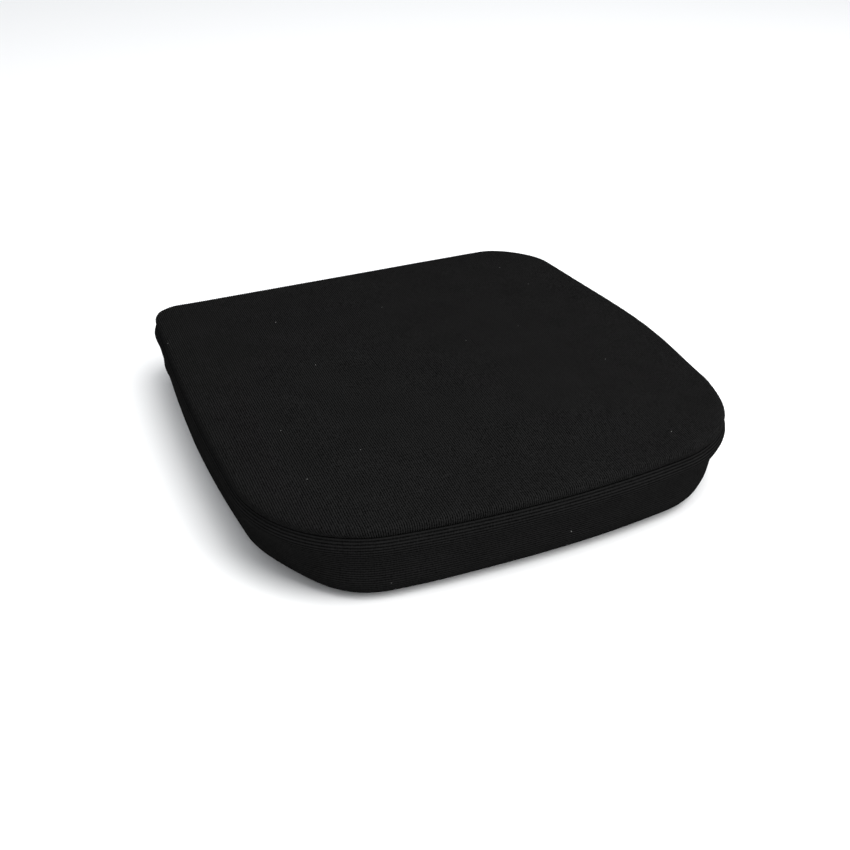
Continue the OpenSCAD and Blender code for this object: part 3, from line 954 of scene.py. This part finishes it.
def foamPiece(name, section, material, crown=0.0, groove=False):
    # a moulded block that follows the cover at an even distance
    point, normal, weight = traceOutline(foam["step"])
    rows = []

    def ring(inset, z, scale=1.0):
        flat = point - normal * (inset + foam["gap"] + pullAt(z) * weight)[:, None]
        if groove and abs(z - zipZ) < foam["grooveHalf"] + 0.1 * mm:
            behind = (np.abs(flat[:, 0]) < stripX + 6 * mm) & (flat[:, 1] > grooveY)
            flat[behind, 1] = grooveY
        rows.append(np.column_stack([flat * scale, np.full(len(flat), z)]))

    for scale in (0.04, 0.3, 0.6, 0.85):
        ring(*section[0], scale)
    for inset, z in section:
        ring(inset, z)
    for scale in (0.95, 0.85, 0.7, 0.5, 0.3, 0.04):
        inset, z = section[-1]
        depth = (1 - scale) * halfW
        ring(inset, z + crown * (1 - math.exp(-(depth / cushion["edgeBand"]) ** 2)), scale)
    n = len(point)
    points = np.vstack(rows)
    points[:, 2] -= sagAt(points)
    out = np.column_stack([np.tile(normal, (len(rows), 1)), np.zeros(len(points))])
    points += out * (foam["pore"] * (waves(points, 5 * mm, 4) - 0.5))[:, None]
    return makePiece(name, points, tubeFaces(len(rows), n), material)


grooveHalf = foam["grooveHalf"]
firmSection = [(14 * mm, 5.2 * mm), (10.2 * mm, 7.4 * mm), (7.2 * mm, 11.6 * mm), (5.5 * mm, 16.6 * mm),
               (5.4 * mm, zipZ - grooveHalf - 0.3 * mm), (5.3 * mm, zipZ - grooveHalf), (5.1 * mm, zipZ),
               (5.0 * mm, zipZ + grooveHalf), (4.9 * mm, zipZ + grooveHalf + 0.3 * mm), (4.5 * mm, splitZ)]
softSection = [(4.5 * mm, splitZ), (3.7 * mm, 47 * mm), (2.7 * mm, 52 * mm), (1.9 * mm, seamZ - 2 * mm),
               (1.5 * mm, seamZ + 0.4 * mm), (1.7 * mm, seamZ + 2.4 * mm), (3.2 * mm, seamZ + 4 * mm),
               (6.5 * mm, edgeZ - 2.9 * mm), (13 * mm, edgeZ - 2.6 * mm)]
firm = foamPiece("firmFoam", firmSection, firmFoamCells, groove=True)
fitPiece(firm, "cushion", "support_foam", "base_foam")
soft = foamPiece("memoryFoam", softSection, memoryFoamCells, crown=cushion["crown"])
fitPiece(soft, "cushion", "memory_foam", "comfort_foam")
print("foam made")


zipFastener = {
    "coilPitch": 1.7 * mm,
    "wire": 0.3 * mm,
    "turnPoints": 14,
    "tapeGrain": 0.07 * mm,
    "cordR": 0.42 * mm,        # the cord through the coil
    "cordRings": 60,
}


def makeTape(name, node):
    # woven tape with a thick edge cord beside the coil
    low, high = nodeBox(node)
    upper = (low[2] + high[2]) / 2 > zipZ
    columns, rows = 330, 22
    x, z = np.linspace(low[0], high[0], columns), np.linspace(low[2], high[2], rows)
    xx, zz = np.meshgrid(x, z)
    toSlot = zz - low[2] if upper else high[2] - zz
    weave = np.sin(xx * 2 * np.pi / (1.9 * mm) + zz * 2 * np.pi / (1.7 * mm))
    cord = 0.25 * mm * np.exp(-((toSlot - 0.5 * mm) / (0.5 * mm)) ** 2)
    front = high[1] - 0.3 * mm + zipFastener["tapeGrain"] * weave + cord
    faces = [np.column_stack([xx.ravel(), y.ravel(), zz.ravel()]) for y in (front, np.full(xx.shape, low[1]))]
    return makeSheet(name, *faces, rows, columns, tapeWeave)


def makeCoil(name, node):
    # a flattened nylon spiral, with a cord through its middle
    low, high = nodeBox(node)
    upper = (low[2] + high[2]) / 2 > zipZ
    wire, pitch = zipFastener["wire"], zipFastener["coilPitch"]
    turns = int((high[0] - low[0] - 2 * wire) / pitch)
    t = np.arange(turns * zipFastener["turnPoints"] + 1) / zipFastener["turnPoints"]
    angle = 2 * np.pi * t
    middle, half = (low + high) / 2, (high - low) / 2 - wire
    sign = 1 if upper else -1
    offset = 0 if upper else pitch / 2 - 0.3 * mm      # the two halves mesh
    x = -turns * pitch / 2 + t * pitch + offset + 0.35 * pitch * np.sin(angle) / 2
    x = np.clip(x, low[0] + wire, high[0] - wire)
    # heads are squarer towards the slot
    reach = np.sign(np.cos(angle)) * np.abs(np.cos(angle)) ** 0.7
    path = np.column_stack([x, middle[1] + half[1] * np.sin(angle), middle[2] - sign * half[2] * reach])
    ahead = unit(np.gradient(path, axis=0))
    outward = path - middle
    outward[:, 0] = 0
    outward -= ahead * (outward * ahead).sum(1)[:, None]
    outward = unit(outward)
    side = np.cross(ahead, outward)
    sides = 6
    around = np.arange(sides) * 2 * np.pi / sides
    tube = path[:, None] + wire * (outward[:, None] * np.cos(around)[None, :, None]
                                   + side[:, None] * np.sin(around)[None, :, None])
    cordR, cordRings = zipFastener["cordR"], zipFastener["cordRings"]
    faces = tubeFaces(len(path), sides) + tubeFaces(cordRings, sides, len(path) * sides)
    core = [(x, middle[1] + cordR * math.cos(a), middle[2] + cordR * math.sin(a))
            for x in np.linspace(low[0] + wire, high[0] - wire, cordRings) for a in around]
    return makePiece(name, np.vstack([tube.reshape(-1, 3), core]), faces, coilNylon)


for name, node in (("tapeUpper", "zip_tape_upper"), ("tapeLower", "zip_tape_lower")):
    fitPiece(makeTape(name, node), "cushion", "zip_tape", node)
for name, node in (("coilUpper", "zip_coil_upper"), ("coilLower", "zip_coil_lower")):
    fitPiece(makeCoil(name, node), "cushion", "zip_coil", node)


def makeLiner():
    # the foam's thin black inner cover, seen through the zip's slot
    low, high = nodeBox("zip_tape_lower")[0], nodeBox("zip_tape_upper")[1]
    columns, rows = 90, 12
    x = np.linspace(low[0] - mm, high[0] + mm, columns)
    z = np.linspace(low[2] - 0.6 * mm, high[2] + 0.6 * mm, rows)
    xx, zz = np.meshgrid(x, z)
    face = np.full(xx.shape, grooveY + 0.45 * mm)
    points = np.column_stack([xx.ravel(), face.ravel(), zz.ravel()])
    points[:, 1] += 0.12 * mm * waves(points, 9 * mm, 6)
    return makeSheet("innerLiner", points, points - [0, 0.3 * mm, 0], rows, columns, linerFabric)


fitPiece(makeLiner(), "cushion", "base_cloth")
print("zip chain made")


hardware = {
    "plate": 1.1 * mm,
    "bevel": 0.22 * mm,
    "pullLength": 20 * mm,
    "pullThickness": 1.2 * mm,
    "eye": 2.6 * mm,
}


def roundLoop(corners, radius, steps=4):
    # a closed outline in [x, z] with its corners rounded
    out = []
    for k, p in enumerate(corners):
        p = Vector(p)
        a, b = Vector(corners[k - 1]) - p, Vector(corners[(k + 1) % len(corners)]) - p
        cut = min(radius, a.length * 0.45, b.length * 0.45)
        start, end = p + a.normalized() * cut, p + b.normalized() * cut
        for i in range(steps + 1):
            t = i / steps
            out.append(tuple(start * (1 - t) ** 2 + p * 2 * t * (1 - t) + end * t ** 2))
    return out


def circleLoop(x, z, radius, count=20):
    return [(x + radius * math.cos(a), z + radius * math.sin(a))
            for a in np.arange(count) * 2 * math.pi / count]


def plateForm(form, loops, y0, y1, origin):
    # adds a flat plate with holes between two depths
    flat = bmesh.new()
    edges = []
    for loop in loops:
        verts = [flat.verts.new((origin[0] + x, y0, origin[2] + z)) for x, z in loop]
        edges += [flat.edges.new((verts[k], verts[(k + 1) % len(verts)])) for k in range(len(verts))]
    bmesh.ops.triangle_fill(flat, use_beauty=True, use_dissolve=False, edges=edges)
    made = bmesh.ops.extrude_face_region(flat, geom=flat.faces[:])
    for v in made["geom"]:
        if isinstance(v, bmesh.types.BMVert):
            v.co.y = y1
    bmesh.ops.recalc_face_normals(flat, faces=flat.faces)
    shape = bpy.data.meshes.new("plate")
    flat.to_mesh(shape)
    form.from_mesh(shape)
    flat.free()
    bpy.data.meshes.remove(shape)


def skin(form, rings):
    # closes a run of rings of vertices into a solid
    for one, two in zip(rings, rings[1:]):
        for i, j in zip(range(len(one)), [*range(1, len(one)), 0]):
            form.faces.new((one[i], one[j], two[j], two[i]))
    form.faces.new(rings[0][::-1])
    form.faces.new(rings[-1])


def tubeForm(form, path, across, halfA, halfB, sides=12):
    # adds a closed rounded bar along a path: halfA along across, halfB at right angles
    path = [Vector(p) for p in path]
    rings = []
    for k, p in enumerate(path):
        ahead = (path[min(k + 1, len(path) - 1)] - path[max(k - 1, 0)]).normalized()
        a = Vector(across)
        b = ahead.cross(a).normalized()
        ring = []
        for i in range(sides):
            t = 2 * math.pi * i / sides
            c, s = math.cos(t), math.sin(t)
            ring.append(form.verts.new(p + a * halfA * math.copysign(abs(c) ** 0.6, c)
                                       + b * halfB * math.copysign(abs(s) ** 0.6, s)))
        rings.append(ring)
    skin(form, rings)


def finishForm(name, form, material, bevel):
    mesh = bpy.data.meshes.new(name)
    bmesh.ops.recalc_face_normals(form, faces=form.faces)
    form.to_mesh(mesh)
    form.free()
    piece = addObject(name, mesh)
    mesh.materials.append(material)
    if bevel:
        edge = piece.modifiers.new("edge", "BEVEL")
        edge.width, edge.segments, edge.limit_method = bevel, 2, "ANGLE"
        edge.angle_limit = math.radians(40)
    mesh.polygons.foreach_set("use_smooth", [True] * len(mesh.polygons))
    smooth = piece.modifiers.new("weight", "WEIGHTED_NORMAL")
    smooth.keep_sharp = False
    return piece


def scaled(points):
    return [(x * mm, z * mm) for x, z in points]


def makeSlider():
    low, high = sliderLow, sliderHigh
    origin = ((low[0] + high[0]) / 2, 0, zipZ)
    half = (high[0] - low[0]) / 2 / mm
    body = [(half, 1.6), (half - 1, 4.9), (-1.5, 4.4), (1 - half, 4.4), (-half, 3.2)]
    body = body + [(x, -z) for x, z in reversed(body)]
    plate = hardware["plate"]
    faceY = high[1] - 4 * mm
    form = bmesh.new()
    plateForm(form, [roundLoop(scaled(body), 0.9 * mm)], faceY, faceY + plate, origin)
    plateForm(form, [roundLoop(scaled(body), 0.9 * mm)], low[1], low[1] + plate, origin)
    # the side flanges and the neck between the two plates
    for side in (-1, 1):
        rail = [(-4.4, side * 3.55), (3.6, side * 3.55), (3.8, side * 4.4), (-4.3, side * 4.35)]
        plateForm(form, [roundLoop(scaled(rail), 0.3 * mm)], faceY - 2.1 * mm, faceY + 0.3 * mm, origin)
    neck = [(2.4, 0.0), (3.0, 0.4), (4.5, 0.38), (4.5, -0.38), (3.0, -0.4)]
    plateForm(form, [roundLoop(scaled(neck), 0.2 * mm)], low[1] + 0.6 * mm, faceY + 0.4 * mm, origin)
    # the bridge that holds the pull
    bridge = []
    for k in range(15):
        t = math.pi * k / 14
        rise = 2.4 * mm * math.sin(t) ** 0.45
        bridge.append((origin[0] - 3.05 * mm * math.cos(t), faceY + plate - 0.15 * mm + rise, zipZ))
    tubeForm(form, bridge, (0, 0, 1), 0.95 * mm, 0.45 * mm)
    return finishForm("zipSlider", form, blackEnamel, hardware["bevel"])


def makePull():
    low, high = nodeBox("zip_pull")
    pivot = (high[0] - 0.6 * mm, (low[1] + high[1]) / 2, zipZ)
    tip = -hardware["pullLength"] / mm
    outer = [(0.6, 1.7), (0.6, 2.9), (-6, 2.9), (tip + 3, 3.7), (tip, 2.4), (tip, -2.4), (tip + 3, -3.7),
             (-6, -2.9), (0.6, -2.9), (0.6, -1.7), (-5.6, -1.6), (-5.6, 1.6)]
    loops = [roundLoop(scaled(outer), 0.7 * mm), circleLoop((tip + 4.4) * mm, 0, hardware["eye"] / 2)]
    form = bmesh.new()
    plateForm(form, loops, low[1], high[1], pivot)
    tubeForm(form, [(pivot[0], pivot[1], pivot[2] + z * mm) for z in (-2.3, -1, 0, 1, 2.3)],
             (1, 0, 0), 0.5 * mm, 0.5 * mm)
    return finishForm("zipPull", form, blackEnamel, hardware["bevel"])


def makeStop(name, node):
    # crimped clamps: rounded blocks with a pressed groove
    low, high = nodeBox(node)
    form = bmesh.new()
    x, w = (low[0] + high[0]) / 2, (high[0] - low[0]) / 2 - 0.05 * mm
    spans = [(low[2], high[2])]
    if node == "zip_top_stops":
        spans = [(low[2], zipZ - 0.7 * mm), (zipZ + 0.7 * mm, high[2])]
    for z0, z1 in spans:
        depth = (high[1] - low[1]) / 2 - 0.05 * mm
        path, squeeze = [], []
        for k in range(13):
            t = k / 12
            path.append((x, (low[1] + high[1]) / 2, z0 + (z1 - z0) * t))
            squeeze.append(1 - 0.16 * math.exp(-((t - 0.5) / 0.16) ** 2) - 0.12 * (abs(2 * t - 1) ** 6))
        rings = []
        for p, q in zip(path, squeeze):
            ring = []
            for i in range(16):
                c, s = math.cos(i * math.pi / 8), math.sin(i * math.pi / 8)
                ring.append(form.verts.new((p[0] + w * q * math.copysign(abs(c) ** 0.5, c),
                                            p[1] + depth * q * math.copysign(abs(s) ** 0.5, s), p[2])))
            rings.append(ring)
        skin(form, rings)
    return finishForm(name, form, blackEnamel, 0)


fitPiece(makeSlider(), "slider", "zip_metal", "zip_slider")
fitPiece(makePull(), "pull", "zip_metal", "zip_pull")
fitPiece(makeStop("topStops", "zip_top_stops"), "cushion", "zip_metal", "zip_top_stops")
fitPiece(makeStop("bottomStop", "zip_bottom_stop"), "cushion", "zip_metal", "zip_bottom_stop")
print("slider and pull made")


def makeLabel():
    # a blank satin tag, sewn into the top seam and hanging against the upper strip
    low, high = nodeBox("care_label")
    s, edge = smoothLine(np.array(bandTop[2:]) * mm, 0.8 * mm)
    edge = edge[edge[:, 1] > low[2]]
    edge = np.vstack([edge, [edge[-1, 0], low[2]]])
    columns = 24
    x = np.linspace(low[0], high[0], columns)
    rows = len(edge)
    xx = np.broadcast_to(x, (rows, columns))
    drop = np.linspace(0, 1, rows)[:, None]
    curl = (0.5 + 0.9 * drop ** 3 * (0.6 + 0.4 * np.cos((xx - low[0]) * 210))) * mm
    yy = backY - edge[:, :1] + curl
    zz = np.broadcast_to(edge[:, 1:], xx.shape)
    front = np.column_stack([xx.ravel(), yy.ravel(), zz.ravel()])
    return makeSheet("careLabel", front, front - [0, 0.3 * mm, 0], rows, columns, labelSatin, flip=False)


fitPiece(makeLabel(), "cushion", "label_tape", "care_label")
print("label made")


# the room: a pale floor, soft lights and the camera
view = {
    "azimuth": math.radians(-25.54),
    "elevation": math.radians(32.39),
    "roll": math.radians(1.38),
    "distance": 1.048,
    "target": (-0.0244, -0.0322, 0.035),
    "lens": 53.2,
}


def addCamera():
    data = bpy.data.cameras.new("camera")
    data.lens, data.sensor_width = view["lens"], 36
    data.clip_start, data.clip_end = 0.01, 50
    camera = addObject("camera", data)
    az, el, roll = view["azimuth"], view["elevation"], view["roll"]
    back = Vector((math.sin(az) * math.cos(el), -math.cos(az) * math.cos(el), math.sin(el)))
    right = Vector((0, 0, 1)).cross(back).normalized()
    up = back.cross(right)
    x = right * math.cos(roll) + up * math.sin(roll)
    y = up * math.cos(roll) - right * math.sin(roll)
    camera.matrix_world = (Matrix.Translation(Vector(view["target"]) + back * view["distance"])
                           @ Matrix((x, y, back)).transposed().to_4x4())
    bpy.context.scene.camera = camera


def addLight(name, size, power, place, aim):
    data = bpy.data.lights.new(name, "AREA")
    data.shape, data.size, data.energy = "SQUARE", size, power
    light = addObject(name, data)
    light.location = place
    light.rotation_euler = (Vector(place) - Vector(aim)).to_track_quat("Z", "Y").to_euler()


def addFloor():
    material, shader = newMaterial("paleFloor")
    shader.inputs["Base Color"].default_value = (0.9, 0.9, 0.895, 1)
    shader.inputs["Roughness"].default_value = 0.8
    size = 6
    floor = makePiece("floor", [(-size, -size, 0), (size, -size, 0), (size, size, 0), (-size, size, 0)],
                      [(0, 1, 2, 3)], material)
    floor.location.z = -0.0002


addCamera()
addFloor()
addLight("softTop", 1.6, 38.5, (0.25, -0.5, 1.75), (0, -0.1, 0.03))
addLight("frontFill", 1.2, 17, (1.1, -1.5, 1.0), (0, 0, 0.03))
world = bpy.data.worlds.new("studio")
bpy.context.scene.world = world
world.use_nodes = True
world.node_tree.nodes["Background"].inputs[0].default_value = (0.95, 0.97, 1, 1)
world.node_tree.nodes["Background"].inputs[1].default_value = 0.72
bpy.context.scene.view_settings.view_transform = "Standard"
print("room made")
